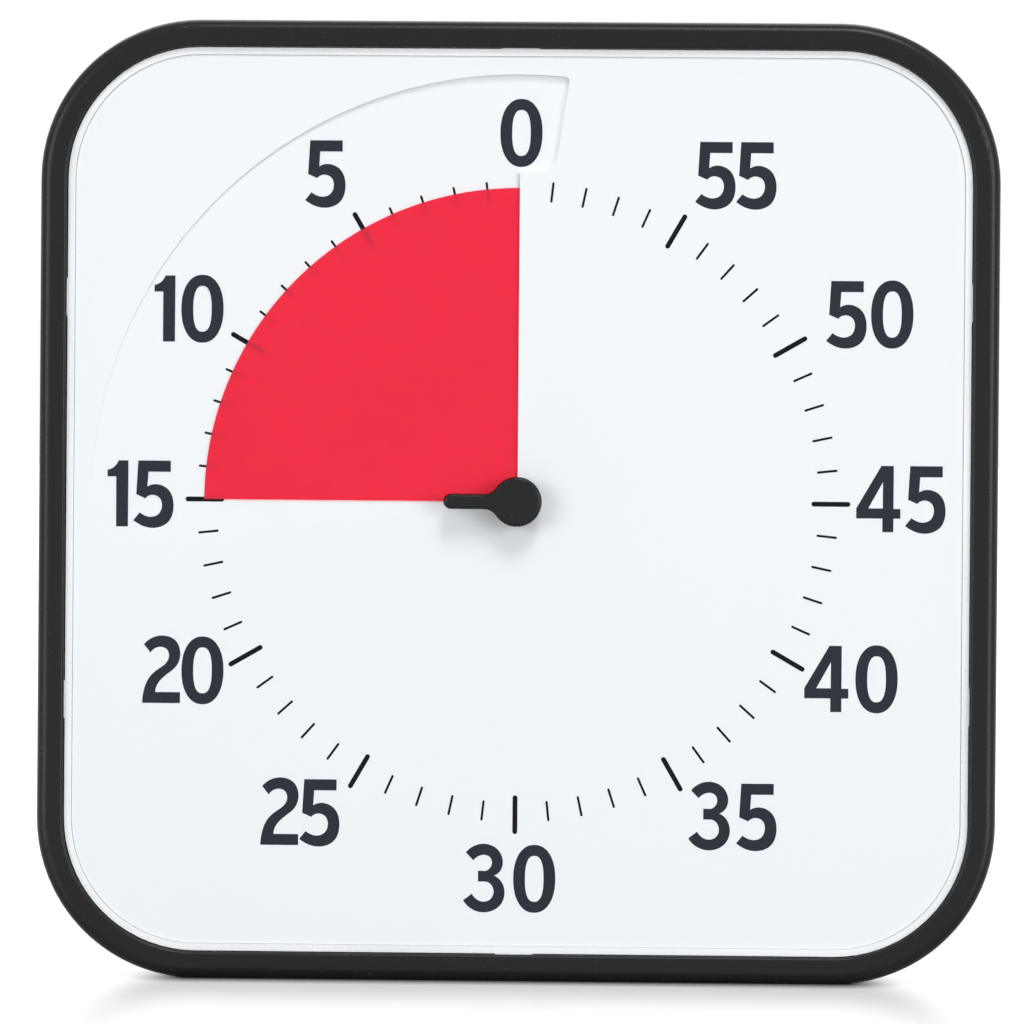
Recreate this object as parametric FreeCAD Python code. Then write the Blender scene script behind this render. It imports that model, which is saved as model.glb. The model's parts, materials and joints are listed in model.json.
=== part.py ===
import FreeCAD, Part
import math
import os

V = FreeCAD.Vector
ALONG_DEPTH = V(0, 1, 0)

# Frame: +X right, +Z up, the dial faces -Y. The origin is at the middle of the footprint.
# Overall size of the case and the height of the dial centre
CASE_SIZE = 304.8
DEPTH = 44.45
CORNER_RADIUS = 50.8
CENTRE_Z = CASE_SIZE / 2
FRONT_Y = -DEPTH / 2
BACK_Y = DEPTH / 2

# Levels from front to back
KNOB_HEIGHT = 8.6
FACE_Y = FRONT_Y + KNOB_HEIGHT
FACE_BELOW_BEZEL = 2.4
BEZEL_Y = FACE_Y - FACE_BELOW_BEZEL
PARTING_Y = 2.0

# Wall sizes and fits
WALL = 2.4
FLANGE = 2.6
PANEL = 2.425
PANEL_Y = BACK_Y - PANEL
RUNNING_GAP = 0.05
FREE_GAP = 0.3

# Bezel and the white tray behind it
BEZEL_RIM = 8.5
BEZEL_OUTER_EDGE = 3.5
BEZEL_INNER_EDGE = 1.0
BACK_EDGE = 3.0
SEAM = 0.35
TRAY_GAP = 0.35
TRAY_RIM = 2.2
RIM_ABOVE_FACE = 0.5
LIP_WIDTH = 2.2
LIP_DEPTH = 2.6
TRAY_FLANGE_REACH = 5.7
TRAY_FLANGE = 1.6
TRAY_WALL = 3.0
TRAY_LEDGE = 4.2
TRAY_FLOOR_DEPTH = 8.5
TRAY_FLOOR = 2.0
TAB_WIDTH = 12.0
TAB_CLEARANCE = 0.05
SIDE_TAB_FROM_TOP = 88.4
SIDE_TAB_HEIGHT = CASE_SIZE / 2 - SIDE_TAB_FROM_TOP

# Printed card with the slit, the ramp beside it and the window for the zero
CARD = 0.5
CARD_EDGE_GAP = 0.2
CARD_HOLE = 6.0
RAMP_DEPTH = 1.5
RAMP_ANGLE = 96.0
RAMP_MARGIN = 5.75
RAMP_RADIUS = CASE_SIZE / 2 - BEZEL_RIM - TRAY_GAP - TRAY_RIM - RAMP_MARGIN
RAMP_STEP = 2.0
RAMP_END_STEP = 0.02
POCKET_WALL = 0.8
FIGURE_BAND = 36.0
LEAF_RADIUS = RAMP_RADIUS - FIGURE_BAND
WINDOW_INNER_RADIUS = LEAF_RADIUS + 5.0
WINDOW_CORNER_ANGLE = -6.6
WINDOW_FOOT = (12.0, WINDOW_INNER_RADIUS + 5.7)
WINDOW_BEND = (11.1, WINDOW_INNER_RADIUS + 2.0)
WINDOW_BEND_END = (7.9, WINDOW_INNER_RADIUS)

# Red leaf, a sheet wound as one turn of a screw so that it can slip through the slit
LEAF = 0.25
LEAF_GAP = 0.12
LEAF_RISE = 3.8
LEAF_TURN = 364.0
LEAF_STEPS = 122
LEAF_INNER_RADIUS = 4.2
HUB_RADIUS = 5.0
HUB_MARGIN = 0.25
REST_ANGLE = 90.0

# Print on the card
INK_PROUD = 0.03
INK_SUNK = 0.02
MINOR_TICK = (LEAF_RADIUS - 0.85, 6.5, 0.75)
MAJOR_TICK = (LEAF_RADIUS - 0.15, 12.3, 1.55)
MINUTES = 60
DEGREES_PER_MINUTE = 360.0 / MINUTES

# Pointer knob
KNOB_DISC_RADIUS = 7.9
LEVER_REACH = 23.3
LEVER_WIDTH = 4.85
LEVER_THICKNESS = 3.9
LEVER_NECK = 5.0
KNOB_EDGE = 1.2
KNOB_SOCKET_DEPTH = 2.2
SPINDLE_RADIUS = 1.5
SPINDLE_FLAT = 1.15

# Screws that hold the two halves of the case
BOSS_RADIUS = 4.0
BOSS_INTO_WALL = 0.15
BOSS_REACH = CORNER_RADIUS - WALL - BOSS_RADIUS + BOSS_INTO_WALL
BOSS_OFFSET = CASE_SIZE / 2 - CORNER_RADIUS + BOSS_REACH / math.sqrt(2)
PILOT_RADIUS = 1.4
SCREW_HEAD = (2.7, 2.2)
COUNTERBORE_Y = 8.0

# Ribs of the back half that press the tray against the bezel
RIB = 3.0
RIB_REACH = 6.0

# Clock movement
MOVE_LEFT = -26.0
MOVE_RIGHT = 28.0
MOVE_LOW = -33.0
MOVE_HIGH = 16.0
MOVE_DEPTH = 16.5
MOVE_WALL = 1.5
MOVE_Y = FACE_Y + TRAY_FLOOR_DEPTH + TRAY_FLOOR
MOVE_INNER_Y = MOVE_Y + MOVE_WALL
MOVE_BACK_Y = MOVE_Y + MOVE_DEPTH
MOVE_COVER_Y = MOVE_BACK_Y - MOVE_WALL
BUSH_RADIUS = 4.0
BUSH_REACH = 3.1
NUT_ACROSS = 11.0
NUT_THICKNESS = 1.6
WASHER = 0.4

# Gear train
MODULE = 0.3
PRESSURE_ANGLE = 25.0
ADDENDUM = 0.8
DEDENDUM = 1.05
BACKLASH = 0.05
WHEEL = 1.0
PINION_TEETH = 10
ARBOR_RADIUS = 0.5

# Battery and its compartment
BATTERY_DROP = 60.0
BATTERY_RADIUS = 7.25
BATTERY_BODY = (-21.5, 27.7)
BATTERY_NUB = (2.7, 1.2)
CELL_HALF_LENGTH = 29.3
CELL_HALF_WIDTH = 8.0
CELL_FLOOR_Y = 4.9
CELL_WALL = 1.6
CONTACT = 0.4
DOOR = 2.0
DOOR_HALF_LENGTH = 34.0
DOOR_HALF_WIDTH = 11.0
DOOR_NOTCH = (7.0, 1.3)
DOOR_GRIP_DEPTH = 0.8

# Fold-out feet
FOOT_LENGTH = 60.0
FOOT_HEIGHT = 18.0
FOOT_FROM_CORNER = 9.6
FOOT_PIVOT_X = CASE_SIZE / 2 - CORNER_RADIUS - FOOT_FROM_CORNER
FOOT_BARREL = 2.2
FOOT_PIN = 1.0
FOOT_PLATE = 3.6
FOOT_EAR = 2.2
FOOT_POCKET_WALL = 1.6

# Hanging: keyhole and magnets
KEYHOLE_FROM_TOP = 34.4
KEYHOLE_RISE = CASE_SIZE / 2 - KEYHOLE_FROM_TOP
KEYHOLE_RADIUS = 4.5
KEYHOLE_SLOT = 2.2
KEYHOLE_TRAVEL = 10.0
MAGNET_RADIUS = 9.0
MAGNET = 3.0
MAGNET_FROM_SIDE = 40.4
MAGNET_FROM_TOP = 64.4
MAGNET_X = CASE_SIZE / 2 - MAGNET_FROM_SIDE
MAGNET_RISE = CASE_SIZE / 2 - MAGNET_FROM_TOP

# Alert board at the back
BOARD_X = (50.0, 90.0)
BOARD_RISE = (-22.0, 6.0)
BOARD = 1.2
BOARD_Y = 12.0
BUZZER_RADIUS = 8.0
BUZZER = 5.6
SWITCH_TRAVEL = 4.0
SWITCH_KNOB = (3.4, 3.0)


def at(x, rise, y):
    """Point given by its place in the dial plane, measured from the dial centre, and its depth."""
    return V(x, y, CENTRE_Z + rise)


def polar(radius, angle, y):
    """Point at an angle counted counter-clockwise from twelve o'clock, as the dial is read."""
    turn = math.radians(angle)
    return at(-radius * math.sin(turn), radius * math.cos(turn), y)


def depth_at(level):
    """Depth of a level that is measured from the card's flat front towards the viewer."""
    return FACE_Y - level


def box(x0, x1, y0, y1, z0, z1):
    return Part.makeBox(x1 - x0, y1 - y0, z1 - z0, V(x0, y0, z0))


def plan_box(x0, x1, rise0, rise1, y0, y1):
    return box(x0, x1, y0, y1, CENTRE_Z + rise0, CENTRE_Z + rise1)


def disc(radius, y0, y1, x=0.0, rise=0.0):
    return Part.makeCylinder(radius, y1 - y0, at(x, rise, y0), ALONG_DEPTH)


def tube(outer, inner, y0, y1, x=0.0, rise=0.0):
    return disc(outer, y0, y1, x, rise).cut(disc(inner, y0 - 1, y1 + 1, x, rise))


def prism(points, y0, y1):
    """Prism on a polygon of (x, rise) pairs."""
    corners = [at(x, rise, y0) for x, rise in points]
    face = Part.Face(Part.makePolygon(corners + corners[:1]))
    return face.extrude(V(0, y1 - y0, 0))


def rounded_square(size, radius, y0, y1):
    half = size / 2
    block = plan_box(-half, half, -half, half, y0, y1)
    return block.makeFillet(radius, [e for e in block.Edges if is_along_depth(e)])


def is_along_depth(edge):
    ends = [vertex.Point for vertex in edge.Vertexes]
    return len(ends) == 2 and math.hypot(ends[0].x - ends[1].x, ends[0].z - ends[1].z) < 1e-6


def edges_at_depth(shape, y):
    box_of = [(edge, edge.BoundBox) for edge in shape.Edges]
    return [edge for edge, limits in box_of if abs(limits.YMin - y) < 1e-6 and abs(limits.YMax - y) < 1e-6]


def reach_of(edge):
    """How far an edge reaches from the dial's axis, sideways or up and down."""
    limits = edge.BoundBox
    return max(-limits.XMin, limits.XMax, CENTRE_Z - limits.ZMin, limits.ZMax - CENTRE_Z)


def fuse(shapes):
    return shapes[0].multiFuse(shapes[1:]).removeSplitter() if len(shapes) > 1 else shapes[0]


def cut(shape, tools):
    return shape.cut(Part.makeCompound(tools)) if len(tools) == 1 else shape.cut(tools)


def solid_from_faces(faces):
    solid = Part.Solid(Part.Shell(faces))
    if solid.Volume < 0:
        solid.reverse()
    return solid


def face_on(points):
    return Part.Face(Part.makePolygon(points + points[:1]))


def swept_section(section_at, angles):
    """Solid whose radial cross-section at each angle is a ring of (radius, level) pairs."""
    rings = [[polar(radius, angle, depth_at(level)) for radius, level in section_at(angle)] for angle in angles]
    faces = [face_on(rings[0]), face_on(rings[-1])]
    count = len(rings[0])
    for first, second in zip(rings, rings[1:]):
        for i in range(count):
            j = (i + 1) % count
            faces.append(face_on([first[i], first[j], second[j]]))
            faces.append(face_on([first[i], second[j], second[i]]))
    return solid_from_faces(faces)


def rounded_bar(start, end, width, y0, y1):
    """Bar with round ends between two (x, rise) points."""
    dx = end[0] - start[0]
    dz = end[1] - start[1]
    length = math.hypot(dx, dz)
    ux, uz = dx / length, dz / length
    half = width / 2
    side_x, side_z = -uz * half, ux * half
    a = at(start[0] + side_x, start[1] + side_z, y0)
    b = at(end[0] + side_x, end[1] + side_z, y0)
    c = at(end[0] - side_x, end[1] - side_z, y0)
    d = at(start[0] - side_x, start[1] - side_z, y0)
    end_tip = at(end[0] + ux * half, end[1] + uz * half, y0)
    start_tip = at(start[0] - ux * half, start[1] - uz * half, y0)
    wire = Part.Wire([
        Part.makeLine(a, b),
        Part.Arc(b, end_tip, c).toShape(),
        Part.makeLine(c, d),
        Part.Arc(d, start_tip, a).toShape(),
    ])
    return Part.Face(wire).extrude(V(0, y1 - y0, 0))


def opening_size():
    return CASE_SIZE - 2 * BEZEL_RIM


def boss_places():
    return [(sx * BOSS_OFFSET, sz * BOSS_OFFSET) for sx in (-1, 1) for sz in (-1, 1)]


# Black front half of the case
INNER_SIZE = CASE_SIZE - 2 * WALL
FLANGE_BACK_Y = BEZEL_Y + FLANGE
LIP_BACK_Y = FLANGE_BACK_Y + LIP_DEPTH


def front_bezel():
    shell = rounded_square(CASE_SIZE, CORNER_RADIUS, BEZEL_Y, PARTING_Y)
    shell = shell.makeFillet(BEZEL_OUTER_EDGE, edges_at_depth(shell, BEZEL_Y))
    shell = shell.makeChamfer(SEAM, edges_at_depth(shell, PARTING_Y))
    opening = opening_size()
    opening_radius = CORNER_RADIUS - BEZEL_RIM
    window = rounded_square(opening, opening_radius, BEZEL_Y - 1, LIP_BACK_Y + 1)
    hollow = rounded_square(INNER_SIZE, CORNER_RADIUS - WALL, FLANGE_BACK_Y, PARTING_Y + 1)
    shell = cut(shell, [hollow])
    lip_radius = opening_radius + LIP_WIDTH
    lip = rounded_square(opening + 2 * LIP_WIDTH, lip_radius, FLANGE_BACK_Y - 0.5, LIP_BACK_Y)
    shell = cut(fuse([shell, lip]), [window])
    inner = [edge for edge in edges_at_depth(shell, BEZEL_Y) if reach_of(edge) < opening / 2 + 0.01]
    shell = shell.makeFillet(BEZEL_INNER_EDGE, inner)
    bosses = [disc(BOSS_RADIUS, LIP_BACK_Y - 0.5, PARTING_Y, x, rise) for x, rise in boss_places()]
    beyond = rounded_square(INNER_SIZE + WALL, CORNER_RADIUS - WALL / 2, LIP_BACK_Y - 0.5, PARTING_Y)
    bosses = [boss.common(beyond) for boss in bosses]
    inner_edge = rounded_square(opening, opening_radius, LIP_BACK_Y - 1, LIP_BACK_Y)
    bosses = [cut(boss, [inner_edge]) for boss in bosses]
    pilots = [disc(PILOT_RADIUS, PARTING_Y - 8, PARTING_Y + 1, x, rise) for x, rise in boss_places()]
    return cut(fuse([shell] + bosses), pilots)


# White tray that carries the card in front and the movement behind
TRAY_SIZE = opening_size() - 2 * TRAY_GAP
TRAY_RADIUS = CORNER_RADIUS - BEZEL_RIM - TRAY_GAP
FIELD_SIZE = TRAY_SIZE - 2 * TRAY_RIM
FIELD_RADIUS = TRAY_RADIUS - TRAY_RIM
CARD_BACK_Y = FACE_Y + CARD
TRAY_FLANGE_BACK_Y = LIP_BACK_Y + TRAY_FLANGE
DISH_SIZE = FIELD_SIZE - 2 * TRAY_LEDGE
DISH_RADIUS = FIELD_RADIUS - TRAY_LEDGE
DISH_Y = FACE_Y + TRAY_FLOOR_DEPTH


def face_tray():
    rim_y = FACE_Y - RIM_ABOVE_FACE
    rim = rounded_square(TRAY_SIZE, TRAY_RADIUS, rim_y, TRAY_FLANGE_BACK_Y)
    flange_size = TRAY_SIZE + 2 * TRAY_FLANGE_REACH
    flange = rounded_square(flange_size, TRAY_RADIUS + TRAY_FLANGE_REACH, LIP_BACK_Y, TRAY_FLANGE_BACK_Y)
    dish = rounded_square(DISH_SIZE + 2 * TRAY_WALL, DISH_RADIUS + TRAY_WALL, LIP_BACK_Y, MOVE_Y)
    reach = TRAY_SIZE / 2 + TRAY_GAP - TAB_CLEARANCE
    half = TAB_WIDTH / 2
    tabs = [plan_box(-half, half, -reach, reach, rim_y, LIP_BACK_Y)]
    for rise in (-SIDE_TAB_HEIGHT, SIDE_TAB_HEIGHT):
        tabs.append(plan_box(-reach, reach, rise - half, rise + half, rim_y, LIP_BACK_Y))
    body = fuse([rim, flange, dish] + tabs)
    card_seat = rounded_square(FIELD_SIZE, FIELD_RADIUS, rim_y - 1, CARD_BACK_Y)
    hollow = rounded_square(DISH_SIZE, DISH_RADIUS, CARD_BACK_Y - 1, DISH_Y)
    notches = [disc(BOSS_RADIUS + FREE_GAP, LIP_BACK_Y, MOVE_Y + 1, x, rise) for x, rise in boss_places()]
    bush_hole = disc(BUSH_RADIUS, DISH_Y - 1, MOVE_Y + 1)
    return cut(body, [card_seat, hollow, bush_hole] + notches)


# Card: flat sheet, ramp down to the slit and sunken window for the zero
def ramp_level(angle):
    """Level of the card's front at an angle from twelve o'clock."""
    if angle < -1e-6 or angle > RAMP_ANGLE:
        return 0.0
    return -RAMP_DEPTH + (RAMP_DEPTH - RAMP_END_STEP) * angle / RAMP_ANGLE


def ramp_angles():
    steps = int(round(RAMP_ANGLE / RAMP_STEP))
    return [RAMP_ANGLE * i / steps for i in range(steps + 1)]


def ramp_section(angle):
    level = ramp_level(angle)
    outer = RAMP_RADIUS + POCKET_WALL
    return [
        (CARD_HOLE, level),
        (RAMP_RADIUS, level),
        (RAMP_RADIUS, 0.0),
        (outer, 0.0),
        (outer, level - CARD),
        (CARD_HOLE, level - CARD),
    ]


def flat_polar(radius, angle):
    turn = math.radians(angle)
    return (-radius * math.sin(turn), radius * math.cos(turn))


def window_outline(spread):
    """Outline of the zero's window, widened by the given amount on its closed sides."""
    outer = RAMP_RADIUS + spread
    inner = WINDOW_INNER_RADIUS - spread
    steps = 4
    top = [flat_polar(outer, WINDOW_CORNER_ANGLE * i / steps) for i in range(steps + 1)]
    bend = [(x + spread, rise) for x, rise in (WINDOW_FOOT, WINDOW_BEND)]
    foot = (WINDOW_BEND_END[0] + spread / 2, WINDOW_BEND_END[1] - spread)
    corner = (top[-1][0] + spread, top[-1][1])
    shoulder = (top[-1][0] - 0.8, top[-1][1] + 0.1)
    return top[:-1] + [shoulder, (corner[0], corner[1] - 0.9)] + bend + [foot, (0.0, inner)]


def dial_card():
    seat = FIELD_SIZE - 2 * CARD_EDGE_GAP
    sheet = rounded_square(seat, FIELD_RADIUS - CARD_EDGE_GAP, FACE_Y, CARD_BACK_Y)
    outer = RAMP_RADIUS + POCKET_WALL
    sector = [(0.0, 0.0)] + [flat_polar(outer, angle) for angle in ramp_angles()]
    above = FACE_Y - 1
    below = FACE_Y + RAMP_DEPTH + CARD
    sheet = cut(sheet, [prism(sector, above, below), disc(CARD_HOLE, above, below)])
    pan = prism(window_outline(POCKET_WALL), FACE_Y, below)
    sheet = cut(sheet, [prism(window_outline(POCKET_WALL), above, below)])
    pan = cut(pan, [prism(window_outline(0.0), above, FACE_Y + RAMP_DEPTH)])
    ramp = swept_section(ramp_section, ramp_angles())
    return fuse([sheet, pan, ramp])


# Print: ticks and figures
def ink(shape_from_depths, low_level, high_level):
    return shape_from_depths(depth_at(high_level + INK_PROUD), depth_at(low_level - INK_SUNK))


def dial_ticks():
    bars = []
    for minute in range(1, MINUTES):
        angle = minute * DEGREES_PER_MINUTE
        middle, length, width = MAJOR_TICK if minute % 5 == 0 else MINOR_TICK
        inner = flat_polar(middle - (length - width) / 2, angle)
        outer = flat_polar(middle + (length - width) / 2, angle)
        level = ramp_level(angle)

        def bar(y0, y1):
            return rounded_bar(inner, outer, width, y0, y1)

        bars.append(ink(bar, level, level))
    return Part.makeCompound(bars)


# Each figure is an outline in mm from the left end of its baseline: corners, and curves through points
FIGURE_1 = [
    ("line", [(2.8, 0.0), (6.6, 0.0), (6.6, 21.0), (3.5, 21.0)]),
    ("curve", [(3.5, 21.0), (2.8, 19.7), (1.6, 18.6), (0.0, 18.0)]),
    ("line", [(0.0, 18.0), (0.0, 15.9), (2.8, 15.9), (2.8, 0.0)]),
]
FIGURE_2 = [
    ("line", [(0.0, 0.0), (12.1, 0.0), (12.1, 3.5), (4.2, 3.5)]),
    ("curve", [(4.2, 3.5), (5.8, 7.3), (8.4, 9.6), (11.0, 12.0), (12.1, 15.9), (10.6, 19.9), (6.4, 21.5),
               (3.2, 20.8), (0.5, 18.7)]),
    ("line", [(0.5, 18.7), (2.6, 16.0)]),
    ("curve", [(2.6, 16.0), (4.0, 17.4), (5.9, 17.9), (7.8, 17.1), (8.5, 15.4), (7.9, 13.2), (4.5, 10.4),
               (2.1, 7.9), (0.7, 4.7), (0.0, 0.0)]),
]
FIGURE_3 = [
    ("curve", [(0.8, 18.7), (3.4, 20.8), (6.5, 21.5), (10.4, 20.2), (12.6, 15.9), (11.9, 13.1), (9.8, 11.4)]),
    ("curve", [(9.8, 11.4), (12.3, 9.3), (13.2, 6.3), (11.8, 2.0), (6.9, -0.3), (3.0, 0.6), (0.0, 3.5)]),
    ("line", [(0.0, 3.5), (2.8, 5.6)]),
    ("curve", [(2.8, 5.6), (4.4, 3.8), (6.3, 3.1), (8.7, 3.9), (9.7, 6.1), (8.9, 8.5), (6.6, 9.5)]),
    ("line", [(6.6, 9.5), (4.7, 9.5), (4.7, 12.9), (6.1, 12.9)]),
    ("curve", [(6.1, 12.9), (8.2, 13.5), (9.1, 15.4), (8.5, 17.2), (6.5, 18.0), (4.7, 17.5), (3.2, 16.2)]),
    ("line", [(3.2, 16.2), (0.8, 18.7)]),
]
FIGURE_4 = [
    ("line", [(8.3, 0.0), (11.8, 0.0), (11.8, 4.3), (14.0, 4.3), (14.0, 7.4), (11.8, 7.4), (11.8, 21.0),
              (7.9, 21.0), (0.0, 7.5), (0.0, 4.3), (8.3, 4.3), (8.3, 0.0)]),
]
FIGURE_5 = [
    ("line", [(4.4, 12.7), (4.7, 17.5), (11.8, 17.5), (11.8, 21.0), (1.5, 21.0), (0.9, 10.3), (3.8, 9.0)]),
    ("curve", [(3.8, 9.0), (5.0, 9.9), (6.5, 10.1), (8.4, 9.1), (9.1, 6.8), (8.0, 4.0), (5.6, 3.1), (3.7, 3.5),
               (2.0, 4.5)]),
    ("line", [(2.0, 4.5), (0.0, 2.0)]),
    ("curve", [(0.0, 2.0), (2.8, 0.3), (6.5, -0.4), (11.0, 1.4), (12.8, 6.8), (11.0, 11.9), (7.4, 13.5),
               (4.4, 12.7)]),
]
FIGURE_4_EYE = [(3.8, 7.5), (8.4, 7.5), (8.4, 15.8)]
DRAWN_RAMP_RADIUS = 135.6
DIAL_SCALE = RAMP_RADIUS / DRAWN_RAMP_RADIUS
FIGURE_HEIGHT = 21.0
ZERO_WIDTH = 13.4
ZERO_HEIGHT = 21.6
ZERO_EYE = (5.9, 14.6)
FIGURES = {"1": FIGURE_1, "2": FIGURE_2, "3": FIGURE_3, "4": FIGURE_4, "5": FIGURE_5}

# For each number: height of the baseline over the dial centre, then the left end of each figure.
# Figures and places are drawn for one radius of the ramp and scaled with the dial.
NUMBERS = {
    "0": (106.6, [-6.4]),
    "5": (93.3, [-68.3]),
    "10": (50.0, [-116.0, -107.4]),
    "15": (-8.9, [-130.5, -122.2]),
    "20": (-65.0, [-119.0, -106.5]),
    "25": (-109.8, [-81.0, -68.6]),
    "30": (-130.3, [-16.3, -0.4]),
    "35": (-109.9, [55.1, 70.3]),
    "40": (-65.9, [91.5, 107.7]),
    "45": (-8.7, [107.5, 123.0]),
    "50": (49.8, [97.5, 111.7]),
    "55": (93.6, [55.6, 68.6]),
}


def rounded_oval(width, height, power, middle_x, middle_rise):
    """Points of an oval that is a little squarer than an ellipse."""
    points = []
    for step in range(60):
        turn = math.radians(6.0 * step)
        c, s = math.cos(turn), math.sin(turn)
        x = math.copysign(abs(c) ** (2 / power), c) * width / 2
        rise = math.copysign(abs(s) ** (2 / power), s) * height / 2
        points.append((middle_x + x, middle_rise + rise))
    return points


def scaled(points):
    return [(x * DIAL_SCALE, rise * DIAL_SCALE) for x, rise in points]


def figure_solid(figure, left, baseline, y0, y1):
    if figure == "0":
        middle_x = left + ZERO_WIDTH / 2
        middle_rise = baseline + FIGURE_HEIGHT / 2
        outer = rounded_oval(ZERO_WIDTH, ZERO_HEIGHT, 2.2, middle_x, middle_rise)
        eye = rounded_oval(ZERO_EYE[0], ZERO_EYE[1], 2.5, middle_x, middle_rise)
        return prism(scaled(outer), y0, y1).cut(prism(scaled(eye), y0 - 1, y1 + 1))
    edges = []
    for kind, points in FIGURES[figure]:
        places = [at(x, rise, y0) for x, rise in scaled([(left + x, baseline + rise) for x, rise in points])]
        if kind == "line":
            edges += [Part.makeLine(a, b) for a, b in zip(places, places[1:])]
        else:
            curve = Part.BSplineCurve()
            curve.interpolate(places)
            edges.append(curve.toShape())
    solid = Part.Face(Part.Wire(Part.__sortEdges__(edges))).extrude(V(0, y1 - y0, 0))
    if figure == "4":
        eye = [(left + x, baseline + rise) for x, rise in FIGURE_4_EYE]
        solid = solid.cut(prism(scaled(eye), y0 - 1, y1 + 1))
    return solid


def levels_under(left, right, low, high):
    """Lowest and highest card level under a box of the dial plane."""
    levels = []
    for x in (left, (left + right) / 2, right):
        for rise in (low, (low + high) / 2, high):
            angle = math.degrees(math.atan2(-x, rise))
            levels.append(-RAMP_DEPTH if -8 < angle < 0 else ramp_level(angle % 360))
    return min(levels), max(levels)


def dial_numerals():
    solids = []
    for label, (baseline, lefts) in NUMBERS.items():
        for figure, left in zip(label, lefts):
            low, high = levels_under(left, left + ZERO_WIDTH, baseline, baseline + FIGURE_HEIGHT)

            def drawn(y0, y1):
                return figure_solid(figure, left, baseline, y0, y1)

            solids.append(ink(drawn, low, high))
    return Part.makeCompound(solids)


# Red leaf and its hub
LEAF_START_LEVEL = -(CARD + LEAF + LEAF_GAP)


def leaf_level(angle):
    """Level of the leaf's underside at an angle from the slit; negative angles are behind the card."""
    return LEAF_START_LEVEL + LEAF_RISE * angle / 360.0


def leaf_section(angle):
    level = leaf_level(angle)
    return [
        (LEAF_INNER_RADIUS, level + LEAF),
        (LEAF_RADIUS, level + LEAF),
        (LEAF_RADIUS, level),
        (LEAF_INNER_RADIUS, level),
    ]


def time_leaf():
    angles = [REST_ANGLE - LEAF_TURN * i / LEAF_STEPS for i in range(LEAF_STEPS + 1)]
    return swept_section(leaf_section, angles)


def spindle_section(radius, flat, y0, y1):
    return disc(radius, y0, y1).common(plan_box(-flat, flat, -radius - 1, radius + 1, y0, y1))


def leaf_hub():
    front = depth_at(leaf_level(REST_ANGLE) + LEAF + HUB_MARGIN)
    back = depth_at(leaf_level(REST_ANGLE - LEAF_TURN) - HUB_MARGIN)
    gap = RUNNING_GAP
    hole = spindle_section(SPINDLE_RADIUS + gap, SPINDLE_FLAT + gap, front - 1, back + 1)
    return cut(disc(HUB_RADIUS, front, back), [hole])


# Pointer knob and its spindle
LEVER_BACK_Y = FRONT_Y + LEVER_THICKNESS


def pointer_knob():
    head = disc(KNOB_DISC_RADIUS, FRONT_Y, LEVER_BACK_Y)
    lever = rounded_bar((0.0, 0.0), (-LEVER_REACH + LEVER_WIDTH / 2, 0.0), LEVER_WIDTH, FRONT_Y, LEVER_BACK_Y)
    body = fuse([head, lever])
    neck_x = -math.sqrt(KNOB_DISC_RADIUS ** 2 - (LEVER_WIDTH / 2) ** 2)
    necks = []
    for edge in body.Edges:
        if is_along_depth(edge) and abs(edge.Vertexes[0].Point.x - neck_x) < 1e-3:
            necks.append(edge)
    body = body.makeFillet(LEVER_NECK, necks)
    body = body.makeFillet(KNOB_EDGE, edges_at_depth(body, FRONT_Y))
    socket = spindle_section(SPINDLE_RADIUS, SPINDLE_FLAT, LEVER_BACK_Y - KNOB_SOCKET_DEPTH, LEVER_BACK_Y + 1)
    return cut(body, [socket])


SPINDLE_BACK_Y = MOVE_BACK_Y - 0.5
KEYED_BACK_Y = depth_at(leaf_level(REST_ANGLE - LEAF_TURN) - HUB_MARGIN) + LEAF_RISE / 2


def spindle():
    keyed = spindle_section(SPINDLE_RADIUS, SPINDLE_FLAT, LEVER_BACK_Y - KNOB_SOCKET_DEPTH, KEYED_BACK_Y)
    return fuse([keyed, disc(SPINDLE_RADIUS, KEYED_BACK_Y, SPINDLE_BACK_Y)])


# Movement box, bush and nut
def movement_case():
    outer = plan_box(MOVE_LEFT, MOVE_RIGHT, MOVE_LOW, MOVE_HIGH, MOVE_Y, MOVE_COVER_Y)
    outer = outer.makeFillet(3.0, [e for e in outer.Edges if is_along_depth(e)])
    w = MOVE_WALL
    inner = plan_box(MOVE_LEFT + w, MOVE_RIGHT - w, MOVE_LOW + w, MOVE_HIGH - w, MOVE_INNER_Y, MOVE_COVER_Y + 1)
    posts = [disc(2.2, MOVE_INNER_Y - 0.5, MOVE_COVER_Y, x, rise) for x, rise in movement_screw_places()]
    body = fuse([cut(outer, [inner])] + posts)
    holes = [disc(0.8, MOVE_COVER_Y - 6, MOVE_COVER_Y + 1, x, rise) for x, rise in movement_screw_places()]
    holes.append(disc(BUSH_RADIUS, MOVE_Y - 1, MOVE_INNER_Y + 1))
    for x, rise in ARBOR_PLACES:
        holes.append(disc(ARBOR_RADIUS + RUNNING_GAP, MOVE_INNER_Y - 0.9, MOVE_INNER_Y + 1, x, rise))
    return cut(body, holes)


def movement_cover():
    plate = plan_box(MOVE_LEFT, MOVE_RIGHT, MOVE_LOW, MOVE_HIGH, MOVE_COVER_Y, MOVE_BACK_Y)
    plate = plate.makeFillet(3.0, [e for e in plate.Edges if is_along_depth(e)])
    holes = [disc(1.0, MOVE_COVER_Y - 1, MOVE_BACK_Y + 1, x, rise) for x, rise in movement_screw_places()]
    holes.append(disc(SPINDLE_RADIUS + RUNNING_GAP, MOVE_COVER_Y - 1, MOVE_BACK_Y + 1))
    for x, rise in ARBOR_PLACES:
        holes.append(disc(ARBOR_RADIUS + RUNNING_GAP, MOVE_COVER_Y - 1, MOVE_COVER_Y + 0.9, x, rise))
    return cut(plate, holes)


def movement_screw_places():
    inset = 3.4
    xs = (MOVE_LEFT + inset, MOVE_RIGHT - inset)
    return [(xs[0], MOVE_LOW + inset), (xs[1], MOVE_HIGH - inset), (xs[0], MOVE_HIGH - inset)]


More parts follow.
